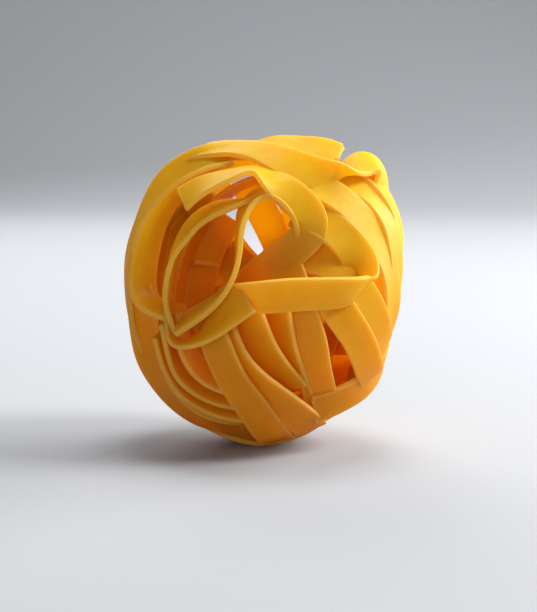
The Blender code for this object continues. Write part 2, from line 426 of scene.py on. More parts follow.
    def cut_share(self, travelled: Array) -> Array:
        """How near each section is to a free end.

        Formula: 1 at the end, falling evenly to 0 at the fade distance from it.

        Args:
            travelled: Distance travelled of each section.

        Returns:
            Shares from 0 to 1.
        """
        share = np.zeros_like(travelled)
        for kind, gap in ((self.start, travelled), (self.finish, travelled[-1] - travelled)):
            if kind is not End.BURIED:
                share = np.maximum(share, 1.0 - gap / self.CUT_FADE)
        return np.clip(share, 0.0, 1.0)

    def build(self, finish: "PastaFinish") -> bpy.types.Object:
        """Make the ribbon's mesh and dress it.

        Args:
            finish: The pasta finish that it takes.

        Returns:
            The ribbon's object, riding on the nest's one body.
        """
        points, place, travelled, cut = self.surface()
        points, place, travelled, cut = self.capped(points, place, travelled, cut)
        rings, sides = place.shape
        index = np.arange(rings * sides).reshape(rings, sides)
        nxt = np.roll(index, -1, axis=1)
        skin = np.stack([index[:-1], nxt[:-1], nxt[1:], index[1:]], axis=-1).reshape(-1, 4)
        half = np.arange(sides // 2 - 1)
        low = np.stack([half, sides - 1 - half, sides - 2 - half, half + 1], axis=-1)
        high = low[:, ::-1] + (rings - 1) * sides
        faces = np.vstack([skin, low, high])
        mesh = bpy.data.meshes.new(self.name)
        mesh.from_pydata(points.reshape(-1, 3).tolist(), [], faces.tolist())
        self.write_layers(mesh, place, travelled, cut, len(skin))
        mesh.shade_smooth()
        mesh.validate()
        thing = bpy.data.objects.new(self.name, mesh)
        bpy.context.scene.collection.objects.link(thing)
        mesh.materials.append(finish.material())
        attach(thing, BODY)
        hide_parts(NODE)
        return thing

    def capped(self, points: Array, place: Array, travelled: Array,
               cut: Array) -> FourArrays:
        """Add two shrinking rings at each end, so that its rim is rounded off.

        Args:
            points: Points of each section.
            place: Place across of each point.
            travelled: Distance travelled of each section.
            cut: Nearness of each point to a cut end.

        Returns:
            The four with two more sections at each end.
        """
        middle = points.mean(axis=1, keepdims=True)
        span = np.linalg.norm(points - middle, axis=2, keepdims=True)
        ahead = unit_rows(middle[1] - middle[0])
        behind = unit_rows(middle[-1] - middle[-2])
        rings = []
        for at, direction in ((0, -ahead), (-1, behind)):
            for inset, reach in self.CAP_RINGS:
                pull = self.END_BEVEL * inset / np.maximum(span[at], TINY)
                pull = np.minimum(pull, self.BEVEL_LIMIT)
                rings.append(points[at] + (middle[at] - points[at]) * pull
                             + direction * self.END_BEVEL * reach)
        first, last = np.stack([rings[1], rings[0]]), np.stack([rings[2], rings[3]])
        points = np.concatenate([first, points, last])
        points[..., 2] = np.maximum(points[..., 2], self.FLOOR)
        return points, with_ends_copied(place), with_ends_copied(travelled), with_ends_copied(cut)

    def write_layers(self, mesh: bpy.types.Mesh, place: Array, travelled: Array,
                     cut: Array, skin_faces: int) -> None:
        """Write the strip's UV map and its edge, cut and tone attributes.

        Args:
            mesh: The ribbon's mesh.
            place: Place across of each point, -1 to 1.
            travelled: Distance travelled of each section.
            cut: Nearness of each point to a cut end.
            skin_faces: How many faces make up the long skin, before the two caps.
        """
        rings, sides = place.shape
        around = np.arange(sides + 1) / sides
        u = travelled / self.MAP_LENGTH
        quad_u = np.stack([u[:-1], u[:-1], u[1:], u[1:]], axis=-1)[:, None, :]
        quad_v = np.stack([around[:-1], around[1:], around[1:], around[:-1]], axis=-1)[None]
        uv = np.zeros((len(mesh.loops), 2))
        shape = (rings - 1, sides, 4)
        uv[:skin_faces * 4, 0] = np.broadcast_to(quad_u, shape).ravel()
        uv[:skin_faces * 4, 1] = np.broadcast_to(quad_v, shape).ravel()
        mesh.uv_layers.new(name="strip").data.foreach_set("uv", uv.ravel())
        edge = smoothstep(self.EDGE_BEGINS, 1.0, np.abs(place)).ravel()
        tone = np.full(edge.shape, np.random.default_rng(self.seed + self.TONE_SEED).random())
        for title, values in (("edge", edge), ("cut", cut.ravel()), ("tone", tone)):
            layer = mesh.attributes.new(title, "FLOAT", "POINT")
            layer.data.foreach_set("value", np.ascontiguousarray(values, dtype=np.float32))


# ---- finish

class NodeTable:
    """Short ways to add nodes to one material."""

    MIX_FIRST = 6
    MIX_SECOND = 7
    MIX_RESULT = 2

    def __init__(self, material: bpy.types.Material) -> None:
        """Open a material's node tree.

        Args:
            material: A new material that uses nodes.
        """
        self.nodes = material.node_tree.nodes
        self.links = material.node_tree.links
        self.shader = self.nodes["Principled BSDF"]
        self.place = self.nodes.new("ShaderNodeTexCoord").outputs["Object"]

    def noise(self, source: Socket, scale: float, detail: float, rough: float) -> Socket:
        """A noise texture.

        Args:
            source: The coordinate that it follows.
            scale: How fine it is.
            detail: Its octaves.
            rough: The strength of the finer octaves.

        Returns:
            The socket of its factor.
        """
        node = self.nodes.new("ShaderNodeTexNoise")
        node.inputs["Scale"].default_value = scale
        node.inputs["Detail"].default_value = detail
        node.inputs["Roughness"].default_value = rough
        self.links.new(source, node.inputs["Vector"])
        return node.outputs["Fac"]

    def ranged(self, source: Socket, low: float, high: float, to_low: float = 0.0,
               to_high: float = 1.0) -> Socket:
        """A value mapped evenly from one range to another and clamped.

        Args:
            source: The value's socket.
            low: The value that becomes to_low.
            high: The value that becomes to_high.
            to_low: One end of the new range.
            to_high: Its other end.

        Returns:
            The socket of the mapped value.
        """
        node = self.nodes.new("ShaderNodeMapRange")
        for label, value in (("From Min", low), ("From Max", high),
                             ("To Min", to_low), ("To Max", to_high)):
            node.inputs[label].default_value = value
        self.links.new(source, node.inputs["Value"])
        return node.outputs["Result"]

    def blend(self, factor: Socket, first: Paint, second: Paint) -> Socket:
        """A colour mixed from two.

        Args:
            factor: The share of the second colour.
            first: A socket or a fixed colour.
            second: A socket or a fixed colour.

        Returns:
            The socket of the mixed colour.
        """
        node = self.nodes.new("ShaderNodeMix")
        node.data_type = "RGBA"
        self.links.new(factor, node.inputs["Factor"])
        for number, value in ((self.MIX_FIRST, first), (self.MIX_SECOND, second)):
            if isinstance(value, tuple):
                node.inputs[number].default_value = (*value, 1.0)
            else:
                self.links.new(value, node.inputs[number])
        return node.outputs[self.MIX_RESULT]

    def attribute(self, title: str) -> Socket:
        """A mesh attribute's value.

        Args:
            title: Its name.

        Returns:
            The value's socket.
        """
        node = self.nodes.new("ShaderNodeAttribute")
        node.attribute_name = title
        return node.outputs["Fac"]

    def radius(self) -> Socket:
        """Distance from the ball's centre, 1 on its nominal surface.

        Formula: the length of (place - centre) / half, axis by axis.

        Returns:
            The socket of the distance.
        """
        source = self.place
        for operation, second, result in (("SUBTRACT", BALL.centre, "Vector"),
                                          ("DIVIDE", BALL.half, "Vector"),
                                          ("LENGTH", (0.0, 0.0, 0.0), "Value")):
            node = self.nodes.new("ShaderNodeVectorMath")
            node.operation = operation
            node.inputs[1].default_value = second
            self.links.new(source, node.inputs[0])
            source = node.outputs[result]
        return source

    def height(self) -> Socket:
        """Height above the floor.

        Returns:
            The socket of the height in metres.
        """
        node = self.nodes.new("ShaderNodeSeparateXYZ")
        self.links.new(self.place, node.inputs["Vector"])
        return node.outputs["Z"]

    def relief(self, height: Socket, strength: float, distance: float,
               under: Socket | None = None) -> Socket:
        """A fine relief of the surface.

        Args:
            height: The socket of the relief's height.
            strength: Its strength.
            distance: Its depth in metres.
            under: The normal of a relief below it.

        Returns:
            The socket of the new normal.
        """
        node = self.nodes.new("ShaderNodeBump")
        node.inputs["Strength"].default_value = strength
        node.inputs["Distance"].default_value = distance
        self.links.new(height, node.inputs["Height"])
        if under is not None:
            self.links.new(under, node.inputs["Normal"])
        return node.outputs["Normal"]


@dataclass(frozen=True)
class PastaFinish:
    """Dry semolina pasta: golden, a little translucent, satin, with a painted highlight that makes the
    edges paler.

    It is yellow outside, and painted shade makes it nearer to orange deep inside the hollow and low
    down.  A share says how far a colour is mixed in, a noise is its scale, octaves and roughness, and a
    relief is its strength and its depth.
    """

    title: str = "dry_pasta"
    gold: Colour = (0.87, 0.68, 0.012)
    deep: Colour = (0.84, 0.58, 0.008)
    pale: Colour = (0.93, 0.76, 0.16)
    # painted shade: the deeper orange that parts deep inside and low down are painted, for the dimmer
    # light there
    shade_orange: Colour = (0.86, 0.30, 0.002)
    crumb: Colour = (0.95, 0.80, 0.34)
    lit: Colour = (1.0, 0.48, 0.01)
    mottle_noise: Triple = (230.0, 3.0, 0.55)
    mottle_range: Pair = (0.34, 0.68)
    tone_share: float = 0.35
    # painted shade: how far the orange is mixed in deep inside the hollow
    inside_shade_share: float = 0.85
    inside_shade_radii: Pair = (0.93, 0.55)
    # painted shade: how far the orange is mixed in low down, where less light falls
    low_shade_share: float = 0.62
    low_shade_heights: Pair = (0.044, 0.018)
    streak_share: float = 0.12
    streak_scale: Triple = (1.2, 46.0, 1.0)
    streak_noise: Triple = (1.0, 2.0, 0.6)
    streak_range: Pair = (0.48, 0.72)
    speck_share: float = 0.20
    speck_noise: Triple = (2600.0, 2.0, 0.6)
    speck_range: Pair = (0.60, 0.74)
    # painted highlight: how far the edges are painted paler, for the light that the rims catch
    edge_highlight_share: float = 0.60
    cut_share: float = 0.40
    sheer: float = 0.55
    sheer_tint: Pair = (0.35, 0.60)
    sheen: float = 0.34
    roughness: float = 0.46
    roughness_swing: Pair = (-0.06, 0.08)
    roughness_noise: Triple = (900.0, 2.0, 0.5)
    roughness_range: Pair = (0.3, 0.7)
    grain_noise: Triple = (1900.0, 4.0, 0.62)
    grain_relief: Pair = (0.35, 0.00004)
    streak_relief: Pair = (0.25, 0.00005)
    ior: float = 1.47
    glow: float = 0.30
    glow_depth: float = 0.0016
    glow_radii: Triple = (1.0, 0.46, 0.08)

    def material(self) -> bpy.types.Material:
        """The finish's material, made once and then shared.

        Returns:
            The material.
        """
        found = bpy.data.materials.get(self.title)
        return found if found is not None else self.make()

    def make(self) -> bpy.types.Material:
        """Build the node tree: a satin surface mixed with a translucent one.

        Returns:
            The new material.
        """
        material = bpy.data.materials.new(self.title)
        material.use_nodes = True
        table = NodeTable(material)
        lines = self.streaks(table)
        colour = self.colour(table, lines)
        self.surface(table, colour, lines)
        both = table.nodes.new("ShaderNodeMixShader")
        both.inputs["Fac"].default_value = self.sheer
        table.links.new(table.shader.outputs["BSDF"], both.inputs[1])
        table.links.new(self.veil(table, colour), both.inputs[2])
        table.links.new(both.outputs["Shader"], table.nodes["Material Output"].inputs["Surface"])
        return material

    def streaks(self, table: NodeTable) -> Socket:
        """The fine lines that the die draws along the strip.

        Args:
            table: The material's nodes.

        Returns:
            The socket of the lines' value.
        """
        strip = table.nodes.new("ShaderNodeUVMap")
        strip.uv_map = "strip"
        stretched = table.nodes.new("ShaderNodeMapping")
        stretched.inputs["Scale"].default_value = self.streak_scale
        table.links.new(strip.outputs["UV"], stretched.inputs["Vector"])
        return table.noise(stretched.outputs["Vector"], *self.streak_noise)

    def colour(self, table: NodeTable, lines: Socket) -> Socket:
        """The surface colour: mottled gold, with painted shade of orange inside and low, and a painted
        highlight paler at the edges.

        Args:
            table: The material's nodes.
            lines: The socket of the drawn lines.

        Returns:
            The socket of the colour.
        """
        mottle = table.ranged(table.noise(table.place, *self.mottle_noise), *self.mottle_range)
        specks = table.noise(table.place, *self.speck_noise)
        colour = table.blend(mottle, self.deep, self.gold)
        for source, low, high, share, tint in (
                (table.attribute("tone"), 0.0, 1.0, self.tone_share, self.gold),
                # painted shade: deeper orange towards the hollow's middle
                (table.radius(), *self.inside_shade_radii, self.inside_shade_share, self.shade_orange),
                # painted shade: deeper orange towards the bottom
                (table.height(), *self.low_shade_heights, self.low_shade_share, self.shade_orange),
                (lines, *self.streak_range, self.streak_share, self.pale),
                (specks, *self.speck_range, self.speck_share, self.pale),
                # painted highlight: paler along the ribbon's edges
                (table.attribute("edge"), 0.0, 1.0, self.edge_highlight_share, self.pale),
                (table.attribute("cut"), 0.0, 1.0, self.cut_share, self.crumb)):
            colour = table.blend(table.ranged(source, low, high, 0.0, share), colour, tint)
        return colour

    def surface(self, table: NodeTable, colour: Socket, lines: Socket) -> None:
        """Set the satin surface: its colour, roughness, glow and relief.

        Args:
            table: The material's nodes.
            colour: The socket of the surface colour.
            lines: The socket of the drawn lines.
        """
        inputs = table.shader.inputs
        table.links.new(colour, inputs["Base Color"])
        low, high = (self.roughness + swing for swing in self.roughness_swing)
        dullness = table.ranged(table.noise(table.place, *self.roughness_noise),
                                *self.roughness_range, low, high)
        table.links.new(dullness, inputs["Roughness"])
        inputs["IOR"].default_value = self.ior
        inputs["Specular IOR Level"].default_value = self.sheen
        inputs["Subsurface Weight"].default_value = self.glow
        inputs["Subsurface Radius"].default_value = self.glow_radii
        inputs["Subsurface Scale"].default_value = self.glow_depth
        grain = table.relief(table.noise(table.place, *self.grain_noise), *self.grain_relief)
        table.links.new(table.relief(lines, *self.streak_relief, grain), inputs["Normal"])

    def veil(self, table: NodeTable, colour: Socket) -> Socket:
        """The light that comes through the strip, more orange than the surface.

        Args:
            table: The material's nodes.
            colour: The socket of the surface colour.

        Returns:
            The socket of the translucent shader.
        """
        through_edge = table.ranged(table.attribute("edge"), 0.0, 1.0, *self.sheer_tint)
        node = table.nodes.new("ShaderNodeBsdfTranslucent")
        table.links.new(table.blend(through_edge, colour, self.lit), node.inputs["Color"])
        return node.outputs["BSDF"]


# ---- sub-assemblies

@dataclass
class Turns:
    """A group of ribbons that lie together; each kind of group lists its own."""

    finish: PastaFinish
    first_seed: int = 0

    def ribbons(self) -> list[Ribbon]:
        """The group's ribbons.

        Returns:
            No ribbon here; each kind of group gives its own.
        """
        return []

    def build(self) -> list[bpy.types.Object]:
        """Make every ribbon of the group.

        Returns:
            The ribbons' objects.
        """
        made = []
        for number, ribbon in enumerate(self.ribbons()):
            ribbon.seed = self.first_seed + number
            made.append(ribbon.build(self.finish))
            LOG.info("%s: %s", type(self).__name__, ribbon.name)
        return made


@dataclass
class TopCover(Turns):
    """The broad ribbons over the top, and the fold at the upper right."""

    def ribbons(self) -> list[Ribbon]:
        """List the ribbons.

        Returns:
            The ribbons.
        """
        return [
            Ribbon("cover_top", (
                (-90, 58, 0.98, 0), (-78, 65, 1.00, 4), (-42, 73, 0.97, 0), (0, 69, 0.98, 5),
                (15, 62, 0.99, 12), (30, 55, 0.99, 22), (42, 50, 1.00, 40), (52, 49, 1.00, 70),
                (62, 49, 1.02, 125), (74, 49, 1.07, 158), (82, 48, 1.13, 172), (87, 45, 1.16, 190),
                (90, 41, 1.12, 210), (92, 36, 1.05, 218), (94, 29, 0.97, 215), (96, 20, 0.91, 200),
            )),
            Ribbon("crown_behind", (
                (-60, 74, 0.93, 5), (-10, 82, 0.92, 12), (55, 82, 0.95, 22), (78, 72, 0.97, 32),
                (84, 63, 1.01, 40), (86, 58, 1.03, 40),
            ), finish=End.BROKEN, slant=0.0006),
        ]


@dataclass
class LeftTurns(Turns):
    """The turns that make the left outline and the nested ones inside them."""

    def ribbons(self) -> list[Ribbon]:
        """List the ribbons.

        Returns:
            The ribbons.
        """
        return [
            Ribbon("left_shoulder", (
                (-84, -42, 0.90, 0), (-86, -28, 0.93, 0), (-86, -12, 0.95, 2), (-85, 10, 0.97, 4),
                (-83, 28, 0.98, 8), (-80, 42, 0.99, 22), (-75, 53, 0.99, 28), (-62, 63, 0.98, 24),
                (-45, 71, 0.94, 20),
            )),
            Ribbon("left_collar", (
                (-44, 70, 0.90, 15), (-58, 56, 0.92, 35), (-67, 42, 0.92, 50), (-71, 25, 0.91, 62),
                (-71, 8, 0.89, 70), (-66, -2, 0.88, 78), (-54, -6, 0.83, 92), (-47, -8, 0.74, 100),
            )),
            Ribbon("hip_left", (
                (-76, 4, 0.89, -30), (-77, -12, 0.88, -48), (-75, -26, 0.92, -42),
                (-70, -40, 0.96, -18), (-60, -54, 0.97, -8), (-45, -64, 0.95, -10),
                (-20, -72, 0.93, -20), (20, -73, 0.92, -26), (46, -66, 0.92, -26),
            )),
            Ribbon("nest_inner_a", (
                (-46, -6, 0.78, 60), (-46, -18, 0.80, 60), (-44, -27, 0.81, 65),
                (-36, -35, 0.82, 75), (-22, -40, 0.82, 85), (-6, -42, 0.80, 90),
            )),
            Ribbon("nest_inner_b", (
                (-54, -10, 0.84, 55), (-54, -24, 0.84, 55), (-50, -35, 0.85, 65),
                (-38, -43, 0.85, 78), (-20, -47, 0.85, 88), (0, -48, 0.84, 92),
            )),
            Ribbon("nest_inner_c", (
                (-60, -16, 0.86, 50), (-60, -30, 0.87, 50), (-54, -43, 0.88, 60),
                (-38, -51, 0.88, 72), (-18, -54, 0.88, 80), (2, -55, 0.87, 85),
            )),
        ]


@dataclass
class Mouth(Turns):
    """The ribbons round and across the open mouth."""

    def ribbons(self) -> list[Ribbon]:
        """List the ribbons.

        Returns:
            The ribbons.
        """
        return [
            Ribbon("flag_bend", (
                (-42, 38, 1.02, -5), (-32, 43, 1.04, -18), (-18, 48, 1.04, -36),
                (-5, 52, 1.03, -42), (5, 49, 1.01, -25), (13, 44, 1.00, 0), (20, 39, 0.98, 12),
                (25, 34, 0.95, 18), (25, 29, 0.90, 20), (20, 25, 0.82, 15), (10, 20, 0.72, 10),
                (-2, 13, 0.64, 5), (-14, 3, 0.56, 0), (-24, -6, 0.50, 0),
            ), start=End.CUT, finish=End.BROKEN, slant=-0.0004),
            Ribbon("loop_inner", (
                (25, 33, 0.70, 58), (21, 37, 0.86, 50), (15, 42, 0.92, 45), (8, 45, 0.94, 42),
                (0, 46, 0.93, 42), (-8, 40, 0.92, 54), (-10, 29, 0.91, 74), (-10, 18, 0.91, 78),
                (-12, 10, 0.92, 78), (-17, 3, 0.94, 74), (-25, -3, 0.96, 68), (-37, -9, 0.95, 62),
            ), finish=End.BROKEN),
            Ribbon("loop_outer", (
                (-42, -12, 0.90, -52), (-46, -2, 0.90, -52), (-46, 8, 0.90, -50),
                (-45, 18, 0.90, -42), (-40, 27, 0.91, -34), (-33, 34, 0.92, -35),
                (-23, 39, 0.92, -38), (-12, 44, 0.89, -50), (-2, 50, 0.84, -60),
            ), start=End.BROKEN),
            Ribbon("tongue", (
                (-5, 3, 1.03, 25), (-12, -2, 1.03, 32), (-19, -7, 1.02, 48), (-27, -12, 0.99, 75),
                (-36, -16, 0.94, 108), (-44, -14, 0.90, 130), (-50, -8, 0.85, 140), (-54, -1, 0.78, 140),
            ), start=End.CUT, slant=0.0003),
            Ribbon("hairpin", (
                (24, 41, 0.82, 8), (30, 34, 0.90, 8), (36, 28, 0.95, 10), (42, 21, 0.97, 18),
                (46, 14, 0.98, 42), (47, 8, 0.98, 85), (44, 5, 1.00, 125), (37, 4, 1.05, 148),
                (26, 4, 1.07, 155), (12, 4, 1.08, 158), (0, 3, 1.04, 160), (-9, 2, 0.92, 160),
                (-16, 0, 0.78, 160),
            )),
        ]


@dataclass
class LowerFront(Turns):
    """The ribbons that fall from the middle to the foot."""

    def ribbons(self) -> list[Ribbon]:
        """List the ribbons.

        Returns:
            The ribbons.
        """
        return [
            Ribbon("fall_left", (
                (-26, -4, 0.88, 10), (-20, -13, 0.95, 12), (-16, -22, 0.98, 10),
                (-12, -30, 1.00, 5), (-7, -38, 1.00, 0), (-1, -48, 1.00, -5), (8, -60, 1.00, -8),
                (22, -72, 0.99, -8), (60, -81, 0.98, 0), (125, -78, 0.95, 0),
            )),
            Ribbon("fall_mid", (
                (-20, -6, 0.84, 30), (-15, -15, 0.90, 28), (-10, -23, 0.94, 24), (-2, -31, 0.96, 20),
                (9, -39, 0.98, 14), (21, -47, 0.99, 8), (36, -56, 0.99, 0), (56, -64, 0.98, 0),
                (82, -68, 0.95, 0), (108, -64, 0.91, 0),
            )),
            Ribbon("inner_mid", (
                (-8, 2, 0.84, 30), (-4, -8, 0.86, 30), (1, -18, 0.88, 30), (8, -28, 0.89, 28),
                (18, -38, 0.90, 25),
            )),
            Ribbon("inner_right", (
                (7, 0, 0.80, 50), (9, -9, 0.81, 50), (12, -20, 0.83, 50), (17, -31, 0.85, 48),
                (24, -42, 0.86, 45),
            )),
            Ribbon("post", (
                (12, 24, 0.70, 26), (15, 11, 0.78, 28), (18, -2, 0.85, 28), (22, -15, 0.92, 26),
                (26, -27, 0.94, 22), (33, -38, 0.94, 14), (43, -48, 0.92, 5), (60, -57, 0.90, 0),
                (82, -62, 0.88, 0),
            )),
            Ribbon("hem_right", (
                (33, -46, 0.98, -15), (42, -43, 0.99, -12), (55, -38, 1.00, -12),
                (70, -33, 1.00, -12), (90, -26, 0.99, -10), (110, -18, 0.97, -5),
            ), start=End.CUT),
            Ribbon("strap_right", (
                (30, 3, 0.92, 5), (33, -2, 0.95, 5), (37, -7, 0.98, 5), (44, -14, 0.99, 5),
                (52, -22, 1.00, 5), (65, -31, 1.00, 5), (85, -38, 0.98, 0), (105, -42, 0.97, 0),
            )),
            Ribbon("cheek_right", (
                (16, 26, 0.66, 0), (26, 20, 0.80, 0), (36, 14, 0.90, 0), (45, 5, 0.94, 5),
                (52, -3, 0.96, 8), (60, -12, 0.97, 8), (72, -20, 0.96, 5), (90, -27, 0.95, 0),
                (112, -32, 0.93, 0),
            )),
        ]


@dataclass
class InnerWall(Turns):
    """The ribbons seen through the mouth, on the far side of the hollow."""

    def ribbons(self) -> list[Ribbon]:
        """List the ribbons.

        Returns:
            The ribbons.
        """
        return [
            Ribbon("back_tip", (
                (228, 42, 0.86, 0), (210, 29, 0.86, 0), (201, 20, 0.85, 0), (193, 11, 0.84, 0),
                (188, 6, 0.84, 0),
            ), finish=End.BROKEN),
            Ribbon("back_high", (
                (190, 48, 0.88, 0), (182, 36, 0.88, 0), (176, 25, 0.88, 0), (171, 14, 0.87, 0),
                (166, 2, 0.86, 0),
            )),
            Ribbon("back_right", (
                (164, 52, 0.90, 0), (162, 38, 0.91, 0), (158, 22, 0.91, 0), (152, 4, 0.90, 0),
            )),
            Ribbon("back_slope", (
                (234, 31, 0.88, 0), (220, 24, 0.88, 0), (211, 19, 0.88, 0), (204, 15, 0.88, 0),
                (197, 9, 0.87, 0), (190, 2, 0.86, 0),
            )),
            Ribbon("back_left", (
                (245, 44, 0.92, 0), (241, 20, 0.92, 0), (240, 0, 0.92, 0), (241, -22, 0.92, 0),
            )),
            Ribbon("back_side", (
                (230, 36, 0.90, 0), (226, 15, 0.90, 0), (225, 0, 0.90, 0), (224, -18, 0.90, 0),
            )),
            Ribbon("back_rise", (
                (188, 14, 0.83, 0), (196, 7, 0.84, 0), (202, 2, 0.85, 0), (209, -6, 0.86, 0),
                (219, -13, 0.87, 0), (234, -20, 0.88, 0),
            )),
            Ribbon("back_bar", (
                (222, 9, 0.84, 80), (214, 8, 0.84, 80), (206, 7, 0.84, 80),
            )),
            Ribbon("back_stave_a", (
                (208, -4, 0.84, 0), (206, -26, 0.84, 0), (200, -50, 0.84, 0),
            )),
            Ribbon("back_stave_b", (
                (192, 4, 0.82, 0), (189, -20, 0.83, 10), (184, -48, 0.84, 0),
            )),
            Ribbon("back_stave_c", (
                (176, 6, 0.82, 0), (173, -20, 0.83, -10), (168, -48, 0.84, 0),
            )),
            Ribbon("back_stave_d", (
                (160, 12, 0.84, 0), (156, -18, 0.84, 8), (148, -46, 0.84, 0),
            )),
            Ribbon("back_stave_e", (
                (142, 26, 0.86, 0), (137, 0, 0.86, 0), (130, -34, 0.86, 0),
            )),
        ]


@dataclass
class RightTurns(Turns):
    """The three overlapping turns down the right side."""

    def ribbons(self) -> list[Ribbon]:
        """List the ribbons.

        Returns:
            The ribbons.
        """
        return [
            Ribbon("side_front", (
                (33, 51, 0.94, 10), (43, 43, 0.97, 10), (50, 35, 0.99, 8), (56, 27, 1.00, 6),
                (61, 19, 1.00, 5), (66, 10, 0.99, 5), (70, 0, 0.98, 5), (74, -12, 0.96, 5),
                (82, -26, 0.94, 0), (98, -40, 0.92, 0),
            )),
            Ribbon("side_mid", (
                (54, 59, 0.92, 10), (65, 47, 0.98, 10), (70, 37, 1.03, 8), (72, 27, 1.05, 8),
                (74, 18, 1.02, 8), (76, 9, 0.99, 8), (78, -2, 0.96, 8), (82, -14, 0.95, 8),
                (92, -28, 0.94, 5), (108, -42, 0.92, 0),
            )),
            Ribbon("side_back", (
                (92, 54, 1.00, 20), (86, 45, 1.06, 10), (85, 35, 1.08, 8), (86, 26, 1.07, 10),
                (88, 17, 1.03, 12), (89, 8, 0.98, 8), (90, -2, 0.95, 6), (92, -14, 0.97, 8),
                (98, -28, 0.95, 10), (110, -42, 0.93, 5),
            )),
        ]


@dataclass(frozen=True)
class Hoop:
    """A part of a turn round the nest's front-to-back axis, angles in degrees."""

    name: str
    turn: float
    clock: Pair
    lift: float
    lean: float
    wander: float
    phase: float
    count: int = 13

    SWAY_RATE = 1.5
    LIFT_SWING = 0.02
    LIFT_RATE = 2.3
    LEAN_SWING = 9.0
    LEAN_RATE = 1.9

    def ribbon(self) -> Ribbon:
        """The hoop as a ribbon.

        Formula: the angle from the front is turn + wander * sin(rate * clock + phase); clock
        runs evenly, 0 at the top and positive to +X.  Lift and lean swing in the same way.

        Returns:
            The ribbon with its stations.
        """
        clock = np.radians(np.linspace(*self.clock, self.count))
        sway = np.sin(self.SWAY_RATE * clock + math.radians(self.phase))
        theta = np.radians(self.turn + self.wander * sway)
        x, y, z = np.sin(theta) * np.sin(clock), -np.cos(theta), np.sin(theta) * np.cos(clock)
        lon, lat = np.degrees(np.arctan2(x, -y)), np.degrees(np.arcsin(z))
        phase = math.radians(self.phase)
        lift = self.lift + self.LIFT_SWING * np.sin(self.LIFT_RATE * clock + phase * 2.0)
        lean = self.lean + self.LEAN_SWING * np.sin(self.LEAN_RATE * clock - phase)
        return Ribbon(self.name, tuple(zip(lon, lat, lift, lean)))


@dataclass
class BackTurns(Turns):
    """The hoops that close the back, and the ribbons that lie across them."""

    def ribbons(self) -> list[Ribbon]:
        """The hoops, then the ribbons across them.

        Returns:
            The ribbons.
        """
        hoops = [
            Hoop("hoop_waist", 104, (-150, 70), 0.95, 8, 7, 0),
            Hoop("hoop_waist_low", 108, (60, 200), 0.93, -10, 8, 60),
            Hoop("hoop_back_outer", 122, (-60, 215), 0.97, -6, 8, 20),
            Hoop("hoop_back_left", 118, (-170, -20), 0.93, 12, 9, 130),
            Hoop("hoop_back_mid", 140, (95, 330), 0.97, 10, 7, 90),
            Hoop("hoop_back_inner", 156, (15, 190), 0.94, -8, 9, 45),
            Hoop("hoop_inside", 120, (-120, 120), 0.78, 18, 12, 200),
            Hoop("hoop_inside_low", 132, (120, 330), 0.76, -16, 12, 10),
        ]
        return [hoop.ribbon() for hoop in hoops] + [
            Ribbon("back_cross", (
                (100, 48, 0.94, 12), (112, 42, 0.98, 10), (128, 34, 1.00, 6), (150, 20, 1.03, 0),
                (172, 4, 1.04, -4), (194, -14, 1.03, -6), (214, -32, 1.00, -4),
                (236, -46, 0.97, 0), (262, -52, 0.94, 0),
            )),
            Ribbon("back_lean", (
                (226, 74, 0.95, -8), (224, 60, 0.98, -8), (220, 43, 1.00, -6), (210, 24, 1.01, 0),
                (194, 6, 1.00, 6), (172, -12, 1.00, 8), (152, -30, 1.00, 6), (134, -48, 0.98, 0),
            ), start=End.CUT),
            Ribbon("under_across", (
                (-86, -44, 0.91, 0), (-84, -62, 0.96, 0), (-66, -80, 0.995, 0), (74, -84, 0.995, 0),
                (92, -68, 0.97, 0), (96, -50, 0.92, 0),
            )),
            Ribbon("under_along", (
                (-26, -56, 0.90, 0), (-34, -72, 0.94, 0), (-110, -82, 0.96, 0), (-172, -72, 0.95, 0),
                (-178, -54, 0.92, 0),
            )),
            Ribbon("back_low", (
                (104, -26, 0.94, 8), (112, -34, 0.98, 4), (134, -44, 1.00, 0), (162, -50, 1.00, -4),
                (190, -46, 1.00, 0), (218, -34, 1.00, 6), (238, -18, 0.98, 8), (256, -4, 0.95, 4),
            )),
        ]


GROUPS = (TopCover, LeftTurns, Mouth, LowerFront, RightTurns, InnerWall, BackTurns)


# ---- studio

@dataclass(frozen=True)
class Finish:
    """A plain matt finish of the stage."""

    title: str
    colour: Colour
    roughness: float = 0.85

    def material(self) -> bpy.types.Material:
        """The finish's material, of one even colour.

        Returns:
            The new material.
        """
        material = bpy.data.materials.new(self.title)
        material.use_nodes = True
        shader = material.node_tree.nodes["Principled BSDF"]
        shader.inputs["Base Color"].default_value = (*self.colour, 1.0)
        shader.inputs["Roughness"].default_value = self.roughness
        return material


@dataclass(frozen=True)
class Lamp:
    """A round soft lamp: its place and diameter in metres and its power in watts."""

    name: str
    place: Triple
    size: float
    power: float
    colour: Colour = (1.0, 1.0, 1.0)

    def build(self, target: Vector) -> None:
        """Add the lamp.

        Args:
            target: What it shines at.
        """
        lamp = bpy.data.lights.new(self.name, "AREA")
        lamp.shape = "DISK"
        lamp.size = self.size
        lamp.energy = self.power
        lamp.color = self.colour
        thing = bpy.data.objects.new(self.name, lamp)
        thing.matrix_world = facing(Vector(self.place), target)
        bpy.context.scene.collection.objects.link(thing)


# Two shine from above, a broad one from the right, weak ones from in front and behind.
LAMPS = (
    Lamp("key", (0.66, -0.06, 0.60), 0.34, 8.0, (1.0, 0.99, 0.96)),
    Lamp("fill", (-0.20, -0.85, 0.22), 0.50, 1.40, (1.0, 0.98, 0.95)),
    Lamp("top", (0.06, 0.16, 0.80), 0.40, 4.2),
    Lamp("rear", (-0.15, 0.50, 0.36), 0.40, 1.8),
    Lamp("side", (0.62, 0.34, 0.26), 0.50, 8.0),
)


